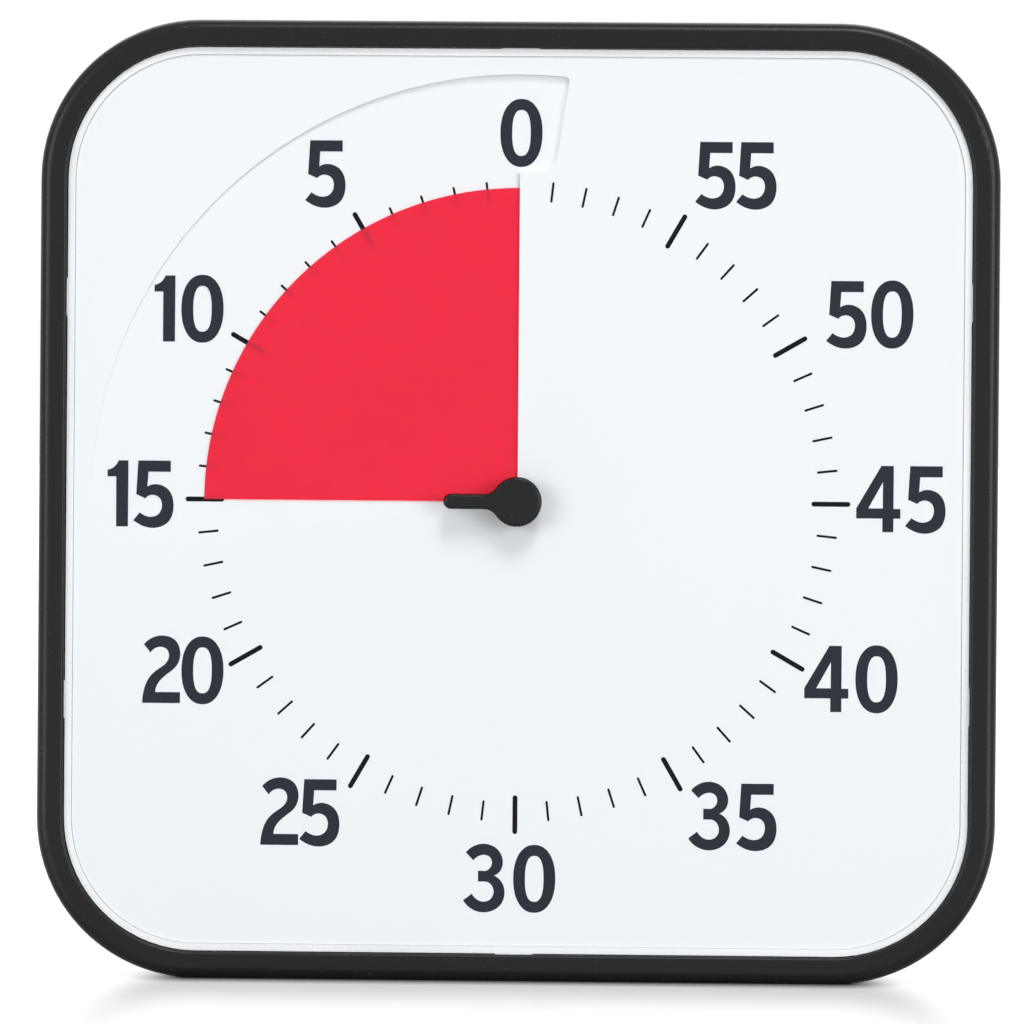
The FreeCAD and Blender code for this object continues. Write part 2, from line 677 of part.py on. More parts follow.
def screw(x, rise, tip_y, seat_y, shank, head, head_height):
    body = fuse([disc(shank, tip_y, seat_y, x, rise), disc(head, seat_y, seat_y + head_height, x, rise)])
    depth = head_height * 0.6
    top = seat_y + head_height
    reach = head * 0.62
    arm = head * 0.15
    slots = [
        plan_box(x - reach, x + reach, rise - arm, rise + arm, top - depth, top + 1),
        plan_box(x - arm, x + arm, rise - reach, rise + reach, top - depth, top + 1),
    ]
    return cut(body, slots)


def movement_screws():
    tip = MOVE_COVER_Y - 5.5
    places = movement_screw_places()
    return Part.makeCompound([screw(x, rise, tip, MOVE_BACK_Y, 0.8, 1.6, 1.0) for x, rise in places])


def case_screws():
    tip = PARTING_Y - 7.5
    head, height = SCREW_HEAD
    places = boss_places()
    return Part.makeCompound([screw(x, rise, tip, COUNTERBORE_Y, PILOT_RADIUS, head, height) for x, rise in places])


def shaft_bush():
    front = DISH_Y - BUSH_REACH
    collar = disc(BUSH_RADIUS, front, MOVE_INNER_Y)
    foot = disc(BUSH_RADIUS + 1.2, MOVE_INNER_Y, MOVE_INNER_Y + 0.5)
    hole = disc(SPINDLE_RADIUS + RUNNING_GAP, front - 1, MOVE_INNER_Y + 2)
    return cut(fuse([collar, foot]), [hole])


def bush_nut():
    reach = NUT_ACROSS / 2 / math.cos(math.radians(30))
    corners = [(reach * math.cos(math.radians(a)), reach * math.sin(math.radians(a))) for a in range(0, 360, 60)]
    front = DISH_Y - WASHER - NUT_THICKNESS
    nut = prism(corners, front, DISH_Y - WASHER)
    return cut(nut, [disc(BUSH_RADIUS, front - 1, DISH_Y)])


def bush_washer():
    return tube(NUT_ACROSS / 2 + 1.5, BUSH_RADIUS, DISH_Y - WASHER, DISH_Y)


# Gear train: a tooth of each wheel points at the next pinion, and a gap of that pinion points back
CENTRE_TEETH = 80
THIRD_TEETH = 75
FOURTH_TEETH = 60
FIFTH_TEETH = 50
THIRD_DIRECTION = 210.0
FOURTH_DIRECTION = -75.0
FIFTH_DIRECTION = 0.0
ROTOR_DIRECTION = 20.0


def pitch_radius(teeth):
    return MODULE * teeth / 2


def next_place(place, teeth, direction):
    distance = pitch_radius(teeth) + pitch_radius(PINION_TEETH)
    turn = math.radians(direction)
    return (place[0] + distance * math.cos(turn), place[1] + distance * math.sin(turn))


THIRD_PLACE = next_place((0.0, 0.0), CENTRE_TEETH, THIRD_DIRECTION)
FOURTH_PLACE = next_place(THIRD_PLACE, THIRD_TEETH, FOURTH_DIRECTION)
FIFTH_PLACE = next_place(FOURTH_PLACE, FOURTH_TEETH, FIFTH_DIRECTION)
ROTOR_PLACE = next_place(FIFTH_PLACE, FIFTH_TEETH, ROTOR_DIRECTION)
ARBOR_PLACES = [THIRD_PLACE, FOURTH_PLACE, FIFTH_PLACE, ROTOR_PLACE]

# Depths of the four meshes, counted from the movement's inner front wall
CENTRE_LAYER = 1.2
THIRD_LAYER = 3.8
FOURTH_LAYER = 6.0
FIFTH_LAYER = 8.0
MAGNET_LAYER = 9.8


def involute_angle(radius, base):
    if radius <= base:
        return 0.0
    ratio = math.acos(base / radius)
    return math.tan(ratio) - ratio


def gear(teeth, place, tooth_direction, layer, thickness, bore):
    """Flat-sided spur gear with a many-sided bore that grips a round pin."""
    pitch = pitch_radius(teeth)
    base = pitch * math.cos(math.radians(PRESSURE_ANGLE))
    root = pitch - DEDENDUM * MODULE
    tip = pitch + ADDENDUM * MODULE
    half_tooth = math.pi / (2 * teeth) - BACKLASH / (2 * pitch) + involute_angle(pitch, base)
    start = max(root, base)
    radii = [start + (tip - start) * i / 4 for i in range(5)]
    if root < base:
        radii.insert(0, root)
    outline = []
    for tooth in range(teeth):
        middle = math.radians(tooth_direction) + 2 * math.pi * tooth / teeth
        rising = [(radius, middle - half_tooth + involute_angle(radius, base)) for radius in radii]
        falling = [(radius, middle + half_tooth - involute_angle(radius, base)) for radius in reversed(radii)]
        outline += rising + falling
    points = [(place[0] + radius * math.cos(a), place[1] + radius * math.sin(a)) for radius, a in outline]
    y0 = MOVE_INNER_Y + layer
    body = prism(points, y0, y0 + thickness)
    sides = 12
    reach = bore / math.cos(math.pi / sides)
    turns = [2 * math.pi * (side + 0.5) / sides for side in range(sides)]
    hole = [(place[0] + reach * math.cos(a), place[1] + reach * math.sin(a)) for a in turns]
    return cut(body, [prism(hole, y0 - 1, y0 + thickness + 1)])


def centre_wheel():
    return gear(CENTRE_TEETH, (0.0, 0.0), THIRD_DIRECTION, CENTRE_LAYER, WHEEL, SPINDLE_RADIUS)


def wheel_and_pinion(teeth, place, wheel_direction, wheel_layer, back_direction, pinion_layer):
    """Wheel and pinion on one pin: the pinion meshes with the wheel before it."""
    gap_offset = 180.0 / PINION_TEETH
    pinion_start = pinion_layer - 0.4
    pinion = gear(PINION_TEETH, place, back_direction + gap_offset, pinion_start, wheel_layer - pinion_start,
                  ARBOR_RADIUS)
    wheel = gear(teeth, place, wheel_direction, wheel_layer, WHEEL * 0.8, ARBOR_RADIUS)
    return fuse([pinion, wheel])


def third_wheel():
    return wheel_and_pinion(THIRD_TEETH, THIRD_PLACE, FOURTH_DIRECTION, THIRD_LAYER,
                            THIRD_DIRECTION + 180, CENTRE_LAYER)


def fourth_wheel():
    return wheel_and_pinion(FOURTH_TEETH, FOURTH_PLACE, FIFTH_DIRECTION, FOURTH_LAYER,
                            FOURTH_DIRECTION + 180, THIRD_LAYER)


def fifth_wheel():
    return wheel_and_pinion(FIFTH_TEETH, FIFTH_PLACE, ROTOR_DIRECTION, FIFTH_LAYER,
                            FIFTH_DIRECTION + 180, FOURTH_LAYER)


def rotor_pinion():
    back_direction = ROTOR_DIRECTION + 180 + 180.0 / PINION_TEETH
    return gear(PINION_TEETH, ROTOR_PLACE, back_direction, FIFTH_LAYER - 0.4, 1.6, ARBOR_RADIUS)


def arbor(place):
    return disc(ARBOR_RADIUS, MOVE_INNER_Y - 0.6, MOVE_COVER_Y + 0.6, place[0], place[1])


def rotor_magnet():
    start = MOVE_INNER_Y + MAGNET_LAYER
    return tube(2.8, ARBOR_RADIUS, start, start + 2.0, ROTOR_PLACE[0], ROTOR_PLACE[1])


def clutch_spring():
    start = MOVE_INNER_Y + CENTRE_LAYER + WHEEL
    return tube(4.2, SPINDLE_RADIUS, start, start + 0.5)


# Motor coil, its iron core and the quartz board
COIL_X = 22.0
COIL_LOW = -25.6
COIL_HIGH = -6.4
STATOR_ARM = 4.0


def motor_stator():
    start = MOVE_INNER_Y + MAGNET_LAYER + 0.5
    end = start + 1.0
    x, rise = ROTOR_PLACE
    low = COIL_LOW - STATOR_ARM / 2 - 0.4
    high = COIL_HIGH + STATOR_ARM / 2 + 0.4
    arms = [
        rounded_bar((x, low), (x, high), STATOR_ARM, start, end),
        rounded_bar((x, low), (COIL_X, low), STATOR_ARM, start, end),
        rounded_bar((x, high), (COIL_X, high), STATOR_ARM, start, end),
        plan_box(COIL_X - 1.2, COIL_X + 1.2, low, high, start, end),
        disc(5.0, start, end, x, rise),
    ]
    return cut(fuse(arms), [disc(2.8 + FREE_GAP, start - 1, end + 1, x, rise)])


def motor_coil():
    core = MOVE_INNER_Y + MAGNET_LAYER + 1.0
    winding = plan_box(COIL_X - 3.0, COIL_X + 3.0, COIL_LOW + 1, COIL_HIGH - 1, core - 2.0, core + 2.0)
    winding = winding.makeFillet(1.0, [e for e in winding.Edges if e.Length > COIL_HIGH - COIL_LOW - 3])
    ends = [
        plan_box(COIL_X - 3.6, COIL_X + 3.6, COIL_LOW, COIL_LOW + 1, core - 2.4, core + 2.4),
        plan_box(COIL_X - 3.6, COIL_X + 3.6, COIL_HIGH - 1, COIL_HIGH, core - 2.4, core + 2.4),
    ]
    slot = plan_box(COIL_X - 1.2, COIL_X + 1.2, COIL_LOW - 1, COIL_HIGH + 1, core - 0.5, core + 0.5)
    return cut(fuse([winding] + ends), [slot])


QUARTZ_BOARD = (-20.0, -4.0, 6.0, 13.0)


def quartz_board():
    x0, x1, low, high = QUARTZ_BOARD
    back = MOVE_COVER_Y
    board = plan_box(x0, x1, low, high, back - 1.0, back)
    chip = plan_box(x0 + 2, x0 + 7, low + 1.5, low + 5.5, back - 2.2, back - 1.0)
    crystal = Part.makeCylinder(1.0, 6.0, at(x1 - 7.5, low + 3.5, back - 2.0), V(1, 0, 0))
    return fuse([board, chip, crystal])


# Battery compartment, cell, contacts and door
def cell_rise():
    return -BATTERY_DROP


def battery_cell():
    low, high = BATTERY_BODY
    y = CELL_FLOOR_Y + 0.3 + BATTERY_RADIUS
    nub_radius, nub_length = BATTERY_NUB
    body = Part.makeCylinder(BATTERY_RADIUS, high - low, at(low, cell_rise(), y), V(1, 0, 0))
    body = body.makeFillet(0.8, [e for e in body.Edges if len(e.Vertexes) == 1])
    nub = Part.makeCylinder(nub_radius, nub_length, at(high, cell_rise(), y), V(1, 0, 0))
    return fuse([body, nub])


def battery_plate():
    x = CELL_HALF_LENGTH - CONTACT
    rise = cell_rise()
    return plan_box(x, CELL_HALF_LENGTH, rise - 5, rise + 5, CELL_FLOOR_Y + 0.5, CELL_FLOOR_Y + 13)


def battery_spring():
    x = -CELL_HALF_LENGTH
    rise = cell_rise()
    y = CELL_FLOOR_Y + 0.3 + BATTERY_RADIUS
    plate = plan_box(x, x + CONTACT, rise - 5, rise + 5, CELL_FLOOR_Y + 0.5, CELL_FLOOR_Y + 13)
    wire = 0.35
    length = BATTERY_BODY[0] - x - CONTACT
    turns = 4
    helix = Part.makeHelix((length - 2 * wire) / turns, length - 2 * wire, 3.2)
    ring = Part.Wire([Part.makeCircle(wire, V(3.2, 0, 0), V(0, 1, 0))])
    coil = Part.Wire(helix).makePipeShell([ring], True, True)
    coil.rotate(V(0, 0, 0), V(0, 1, 0), 90)
    coil.translate(at(x + CONTACT + wire, rise, y))
    return Part.makeCompound([plate, coil])


def battery_door():
    rise = cell_rise()
    half_length = DOOR_HALF_LENGTH - 0.3
    half_width = DOOR_HALF_WIDTH - 0.3
    plate = plan_box(-half_length, half_length, rise - half_width, rise + half_width, BACK_Y - DOOR, BACK_Y)
    plate = plate.makeFillet(2.0, [e for e in plate.Edges if is_along_depth(e)])
    grips = []
    for i in range(5):
        x = 22.0 + 1.8 * i
        grips.append(plan_box(x, x + 0.8, rise - 5, rise + 5, BACK_Y - DOOR_GRIP_DEPTH, BACK_Y + 1))
    return cut(plate, grips)


# Fold-out feet in pockets that are open at the foot of the case
FOOT_AXIS_Y = BACK_Y - 0.25 - FOOT_BARREL
FOOT_POCKET_Y = FOOT_AXIS_Y - FOOT_BARREL - FREE_GAP


def foot(side):
    """Foot on one side, folded flat; side is -1 for the left and 1 for the right."""
    ear = FOOT_EAR + 0.2
    barrel = Part.makeCylinder(FOOT_BARREL, FOOT_HEIGHT - 2 * ear, V(FOOT_PIVOT_X, FOOT_AXIS_Y, ear))
    plate_back = FOOT_AXIS_Y + FOOT_BARREL
    arm = box(FOOT_PIVOT_X - FOOT_LENGTH, FOOT_PIVOT_X, plate_back - FOOT_PLATE, plate_back, ear, FOOT_HEIGHT - ear)
    blade = box(FOOT_PIVOT_X - FOOT_LENGTH, FOOT_PIVOT_X - 4.0, plate_back - FOOT_PLATE, plate_back, 0, FOOT_HEIGHT)
    body = fuse([barrel, arm, blade])
    corner = [e for e in body.Edges if abs(e.BoundBox.XMax - (FOOT_PIVOT_X - FOOT_LENGTH)) < 1e-6
              and e.BoundBox.ZMin > FOOT_HEIGHT - 1 and e.BoundBox.YLength > 1]
    body = body.makeFillet(4.0, corner)
    hole = Part.makeCylinder(FOOT_PIN + RUNNING_GAP, FOOT_HEIGHT, V(FOOT_PIVOT_X, FOOT_AXIS_Y, 0))
    body = cut(body, [hole])
    return body if side > 0 else body.mirror(V(0, 0, 0), V(1, 0, 0))


def foot_pins():
    pins = []
    for side in (-1, 1):
        pins.append(Part.makeCylinder(FOOT_PIN, FOOT_HEIGHT + 2, V(side * FOOT_PIVOT_X, FOOT_AXIS_Y, 0.6)))
    return Part.makeCompound(pins)


def foot_pocket(side):
    """Block added inside the back for one foot, and the hollow and pin holes cut from it."""
    low = FOOT_PIVOT_X - FOOT_LENGTH - 1.0
    high = FOOT_PIVOT_X + FOOT_BARREL + 0.4
    top = FOOT_HEIGHT + 0.4
    w = FOOT_POCKET_WALL
    block = box(low - w, high + w, FOOT_POCKET_Y - w, BACK_Y - 1, WALL / 2, top + FOOT_EAR + 0.6)
    hollow = box(low, high, FOOT_POCKET_Y, BACK_Y + 1, -1, top)
    ears_low = FOOT_PIVOT_X - 3.0
    ears = [
        box(ears_low, high, FOOT_POCKET_Y, BACK_Y - 0.3, 0, FOOT_EAR),
        box(ears_low, high, FOOT_POCKET_Y, BACK_Y - 0.3, FOOT_HEIGHT - FOOT_EAR, top),
    ]
    notch = Part.makeCylinder(8.0, top, V(low + 1, BACK_Y + 5.0, 0))
    pin_hole = Part.makeCylinder(FOOT_PIN, FOOT_HEIGHT + 2, V(FOOT_PIVOT_X, FOOT_AXIS_Y, 0.6))
    pieces = [block, hollow, Part.makeCompound(ears), notch, pin_hole]
    return pieces if side > 0 else [piece.mirror(V(0, 0, 0), V(1, 0, 0)) for piece in pieces]


# Alert board, sounder and its switch
SWITCH_X = BOARD_X[0] + 30.0
SWITCH_RISE = BOARD_RISE[1] - 6.0
BUZZER_X = BOARD_X[0] + 12.0
BUZZER_RISE = BOARD_RISE[0] + 12.0
ALERT_CHIP_X = (BOARD_X[0] + 24.0, BOARD_X[0] + 32.0)
ALERT_CHIP_RISE = (BOARD_RISE[0] + 6.0, BOARD_RISE[0] + 11.0)


def board_posts():
    return [(BOARD_X[0] + 3, BOARD_RISE[1] - 3), (BOARD_X[1] - 3, BOARD_RISE[0] + 3)]


def alert_board():
    board = plan_box(BOARD_X[0], BOARD_X[1], BOARD_RISE[0], BOARD_RISE[1], BOARD_Y, BOARD_Y + BOARD)
    holes = [disc(1.1, BOARD_Y - 1, BOARD_Y + 3, x, rise) for x, rise in board_posts()]
    chip = plan_box(*ALERT_CHIP_X, *ALERT_CHIP_RISE, BOARD_Y + BOARD, BOARD_Y + BOARD + 1.4)
    return cut(fuse([board, chip]), holes)


def board_screws():
    parts = []
    for x, rise in board_posts():
        shank = disc(1.0, BOARD_Y - 0.01, BOARD_Y + 5, x, rise)
        head = disc(2.0, BOARD_Y - 1.3, BOARD_Y, x, rise)
        slot = plan_box(x - 1.4, x + 1.4, rise - 0.25, rise + 0.25, BOARD_Y - 2, BOARD_Y - 0.7)
        parts.append(cut(fuse([shank, head]), [slot]))
    return Part.makeCompound(parts)


def alert_buzzer():
    start = BOARD_Y + BOARD
    body = disc(BUZZER_RADIUS, start, start + BUZZER, BUZZER_X, BUZZER_RISE)
    return cut(body, [disc(1.2, start + BUZZER - 1.5, start + BUZZER + 1, BUZZER_X, BUZZER_RISE)])


def switch_body():
    start = BOARD_Y + BOARD
    end = start + 4.4
    body = plan_box(SWITCH_X - 6, SWITCH_X + 6, SWITCH_RISE - 2.8, SWITCH_RISE + 2.8, start, end)
    half = SWITCH_KNOB[0] / 2
    high = SWITCH_KNOB[1] / 2
    track = plan_box(SWITCH_X - SWITCH_TRAVEL / 2 - half - 0.3, SWITCH_X + SWITCH_TRAVEL / 2 + half + 0.3,
                     SWITCH_RISE - high - 0.3, SWITCH_RISE + high + 0.3, start + 2.0, end + 1)
    return cut(body, [track])


def switch_slider():
    half = SWITCH_KNOB[0] / 2
    high = SWITCH_KNOB[1] / 2
    x = SWITCH_X - SWITCH_TRAVEL / 2
    start = BOARD_Y + BOARD + 2.3
    stem = plan_box(x - half, x + half, SWITCH_RISE - high, SWITCH_RISE + high, start, BACK_Y - 0.2)
    groove = plan_box(x - 0.4, x + 0.4, SWITCH_RISE - high - 1, SWITCH_RISE + high + 1, BACK_Y - 0.7, BACK_Y)
    return cut(stem, [groove])


# Magnets that hold the timer on a board
def magnet_places():
    return [(sx * MAGNET_X, sz * MAGNET_RISE) for sx in (-1, 1) for sz in (-1, 1)]


def hang_magnets():
    return Part.makeCompound([disc(MAGNET_RADIUS, PANEL_Y - MAGNET, PANEL_Y, x, z) for x, z in magnet_places()])


# Black back half of the case
def rear_cover():
    shell = rounded_square(CASE_SIZE, CORNER_RADIUS, PARTING_Y, BACK_Y)
    shell = shell.makeFillet(BACK_EDGE, edges_at_depth(shell, BACK_Y))
    shell = shell.makeChamfer(SEAM, edges_at_depth(shell, PARTING_Y))
    hollow = rounded_square(INNER_SIZE, CORNER_RADIUS - WALL, PARTING_Y - 1, PANEL_Y)
    shell = cut(shell, [hollow])
    inside = rounded_square(INNER_SIZE + WALL, CORNER_RADIUS - WALL / 2, TRAY_FLANGE_BACK_Y, BACK_Y - 1)
    adds = [disc(BOSS_RADIUS, PARTING_Y, PANEL_Y + 1, x, rise).common(inside) for x, rise in boss_places()]
    half = INNER_SIZE / 2
    thick = RIB / 2
    for along in (-half / 3, half / 3):
        for sign in (-1, 1):
            for y0, y1, outer in ((TRAY_FLANGE_BACK_Y, PARTING_Y, half - 0.4), (PARTING_Y, PANEL_Y + 1, half + 1)):
                near, far = sorted((sign * (half - RIB_REACH), sign * outer))
                adds.append(plan_box(near, far, along - thick, along + thick, y0, y1))
                adds.append(plan_box(along - thick, along + thick, near, far, y0, y1))
    rise = cell_rise()
    w = CELL_WALL
    adds.append(plan_box(-CELL_HALF_LENGTH - w, CELL_HALF_LENGTH + w, rise - CELL_HALF_WIDTH - w,
                         rise + CELL_HALF_WIDTH + w, CELL_FLOOR_Y - w, PANEL_Y + 1))
    adds.append(plan_box(-DOOR_HALF_LENGTH - w, DOOR_HALF_LENGTH + w, rise - DOOR_HALF_WIDTH - w,
                         rise + DOOR_HALF_WIDTH + w, BACK_Y - DOOR - w, PANEL_Y + 1))
    for x, z in magnet_places():
        adds.append(tube(MAGNET_RADIUS + 1.6, MAGNET_RADIUS, PANEL_Y - MAGNET, PANEL_Y + 0.5, x, z))
    for x, z in board_posts():
        adds.append(disc(2.4, BOARD_Y + BOARD, PANEL_Y + 0.5, x, z))
    pockets = [foot_pocket(side) for side in (-1, 1)]
    adds += [pocket[0] for pocket in pockets]
    shell = fuse([shell] + adds)

    cuts = [pocket[1] for pocket in pockets]
    cuts.append(plan_box(-CELL_HALF_LENGTH, CELL_HALF_LENGTH, rise - CELL_HALF_WIDTH, rise + CELL_HALF_WIDTH,
                         CELL_FLOOR_Y, BACK_Y + 1))
    cuts.append(plan_box(-DOOR_HALF_LENGTH, DOOR_HALF_LENGTH, rise - DOOR_HALF_WIDTH, rise + DOOR_HALF_WIDTH,
                         BACK_Y - DOOR, BACK_Y + 1))
    notch_radius, notch_depth = DOOR_NOTCH
    notch_x = DOOR_HALF_LENGTH + notch_radius / 2
    cuts.append(disc(notch_radius, BACK_Y - notch_depth, BACK_Y + 1, notch_x, rise))
    for x, z in boss_places():
        cuts.append(disc(SCREW_HEAD[0] + FREE_GAP, COUNTERBORE_Y, BACK_Y + 1, x, z))
        cuts.append(disc(PILOT_RADIUS + FREE_GAP, PARTING_Y - 1, COUNTERBORE_Y + 1, x, z))
    for x, z in board_posts():
        cuts.append(disc(1.0, BOARD_Y, BOARD_Y + 5.4, x, z))
    cuts.append(disc(KEYHOLE_RADIUS, PANEL_Y - 1, BACK_Y + 1, 0, KEYHOLE_RISE))
    cuts.append(rounded_bar((0, KEYHOLE_RISE), (0, KEYHOLE_RISE + KEYHOLE_TRAVEL), 2 * KEYHOLE_SLOT,
                            PANEL_Y - 1, BACK_Y + 1))
    half = SWITCH_KNOB[0] / 2 + SWITCH_TRAVEL / 2 + 0.3
    high = SWITCH_KNOB[1] / 2 + 0.3
    cuts.append(plan_box(SWITCH_X - half, SWITCH_X + half, SWITCH_RISE - high, SWITCH_RISE + high,
                         PANEL_Y - 1, BACK_Y + 1))
    for i in range(5):
        z = BUZZER_RISE + 3.2 * (i - 2)
        cuts.append(rounded_bar((BUZZER_X - 4.5, z), (BUZZER_X + 4.5, z), 1.4, PANEL_Y - 1, BACK_Y + 1))
    shell = cut(shell, cuts)
    for pocket in pockets:
        shell = cut(fuse([shell] + pocket[2].Solids), [pocket[4]])
    return shell


def lead(points, radius=0.6):
    """Insulated wire through the given points."""
    pieces = []
    for start, end in zip(points, points[1:]):
        run = end.sub(start)
        pieces.append(Part.makeCylinder(radius, run.Length, start, run))
        pieces.append(Part.makeSphere(radius, end))
    return fuse(pieces)


def battery_leads():
    rise = cell_rise()
    y = CELL_FLOOR_Y - CELL_WALL - 1.2
    leads = []
    for side in (-1, 1):
        x = side * (CELL_HALF_LENGTH + CELL_WALL + 1.0)
        inner = side * 12.0
        leads.append(lead([at(x, rise, CELL_FLOOR_Y + 4), at(x, rise, y), at(inner, rise, y),
                           at(inner, MOVE_LOW - 0.8, y)]))
    return Part.makeCompound(leads)


def alert_leads():
    leads = []
    for i in range(2):
        rise = -14.0 - 3.0 * i
        y = BOARD_Y - 1.0
        leads.append(lead([at(MOVE_RIGHT + 0.8, rise, y), at(BOARD_X[0] + 2, rise, y)]))
    return Part.makeCompound(leads)


PARTS = {
    "front_bezel": front_bezel,
    "rear_cover": rear_cover,
    "face_tray": face_tray,
    "dial_card": dial_card,
    "dial_ticks": dial_ticks,
    "dial_numerals": dial_numerals,
    "movement_case": movement_case,
    "movement_cover": movement_cover,
    "movement_screws": movement_screws,
    "case_screws": case_screws,
    "shaft_bush": shaft_bush,
    "bush_nut": bush_nut,
    "bush_washer": bush_washer,
    "motor_stator": motor_stator,
    "motor_coil": motor_coil,
    "quartz_board": quartz_board,
    "battery_cell": battery_cell,
    "battery_plate": battery_plate,
    "battery_spring": battery_spring,
    "battery_leads": battery_leads,
    "alert_leads": alert_leads,
    "alert_board": alert_board,
    "board_screws": board_screws,
    "alert_buzzer": alert_buzzer,
    "switch_body": switch_body,
    "hang_magnets": hang_magnets,
    "foot_pins": foot_pins,
    "pointer_knob": pointer_knob,
    "spindle": spindle,
    "centre_wheel": centre_wheel,
    "clutch_spring": clutch_spring,
    "time_leaf": time_leaf,
    "leaf_hub": leaf_hub,
    "third_wheel": third_wheel,
    "third_arbor": lambda: arbor(THIRD_PLACE),
    "fourth_wheel": fourth_wheel,
    "fourth_arbor": lambda: arbor(FOURTH_PLACE),
    "fifth_wheel": fifth_wheel,
    "fifth_arbor": lambda: arbor(FIFTH_PLACE),
    "rotor_pinion": rotor_pinion,
    "rotor_magnet": rotor_magnet,
    "rotor_arbor": lambda: arbor(ROTOR_PLACE),
    "foot_left": lambda: foot(-1),
    "foot_right": lambda: foot(1),
    "battery_door": battery_door,
    "switch_slider": switch_slider,
}

os.makedirs("parts", exist_ok=True)
for name, make in PARTS.items():
    make().exportStep("parts/" + name + ".step")
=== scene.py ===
import json
import math

import bmesh
import bpy
from mathutils import Matrix, Vector


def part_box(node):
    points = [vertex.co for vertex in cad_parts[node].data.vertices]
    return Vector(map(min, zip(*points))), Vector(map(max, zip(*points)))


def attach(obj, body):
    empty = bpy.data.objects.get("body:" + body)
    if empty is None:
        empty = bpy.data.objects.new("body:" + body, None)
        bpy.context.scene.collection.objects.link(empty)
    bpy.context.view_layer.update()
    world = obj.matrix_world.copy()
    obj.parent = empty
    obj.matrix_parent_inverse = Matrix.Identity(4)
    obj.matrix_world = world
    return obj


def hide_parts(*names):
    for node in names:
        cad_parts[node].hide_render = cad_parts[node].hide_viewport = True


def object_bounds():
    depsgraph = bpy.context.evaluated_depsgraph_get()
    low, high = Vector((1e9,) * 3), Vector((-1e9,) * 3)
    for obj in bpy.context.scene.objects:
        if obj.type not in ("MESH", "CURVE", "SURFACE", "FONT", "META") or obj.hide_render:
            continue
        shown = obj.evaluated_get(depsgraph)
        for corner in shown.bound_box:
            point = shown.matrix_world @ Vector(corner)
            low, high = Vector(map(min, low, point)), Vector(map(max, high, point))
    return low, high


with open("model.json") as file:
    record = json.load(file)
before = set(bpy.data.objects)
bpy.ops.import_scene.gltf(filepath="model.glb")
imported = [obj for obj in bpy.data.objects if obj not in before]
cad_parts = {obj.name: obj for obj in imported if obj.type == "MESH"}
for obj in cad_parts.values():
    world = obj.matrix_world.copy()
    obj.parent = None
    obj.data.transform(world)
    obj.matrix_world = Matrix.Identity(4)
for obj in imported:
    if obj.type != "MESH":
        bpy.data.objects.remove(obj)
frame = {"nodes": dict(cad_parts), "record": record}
cad_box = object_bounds()
nodes = frame["nodes"]

# Camera, in metres and degrees: far off, a little to the reader's right of the dial's axis
CAMERA_PLACE = Vector((0.0759, -2.4123, 0.1768))
CAMERA_AIM = Vector((-0.0017, -0.0136, 0.1491))
CAMERA_ROLL = 0.46
CAMERA_LENS = 265.7
CAMERA_REACH = 50.0
SENSOR = 36.0

# Light: an even sky and four large soft lamps. A lamp is given by its bearing from the front and its height
# angle in degrees, its distance and size in metres, and its power in watts
SKY_LEVEL = 0.44
KEY_LAMP = (14.0, 52.0, 7.0, 2.2, 172.0)
RIGHT_LAMP = (42.0, 5.0, 4.0, 2.0, 63.0)
LEFT_LAMP = (-40.0, 5.0, 4.0, 2.0, 49.0)
BACK_LAMP = (190.0, 50.0, 4.0, 3.2, 50.0)

# Floor: a little glossy, grey by itself and lifted to pure white away from the object by a glow. The glow is
# held back near the footprint, which paints a dark contact shadow around the object on top of its real
# shadow. Each stretch of the glow is given by the distance from the footprint at which it starts and ends, in
# metres, and by what it adds
FLOOR_SIZE = 60.0
FLOOR_COLOUR = (0.34, 0.34, 0.34, 1.0)
FLOOR_GLOW_AND_PAINTED_SHADOW = ((0.005, 0.022, 0.46), (0.022, 0.45, 0.25))
FLOOR_DRIFT_MM = 400.0
FLOOR_DRIFT = 0.99

# Half the depth of the strip on which the case stands, and the radius of the case's corners, in metres
CONTACT_HALF_DEPTH = 0.0125
CORNER = 0.0508

MILLIMETRE = 0.001


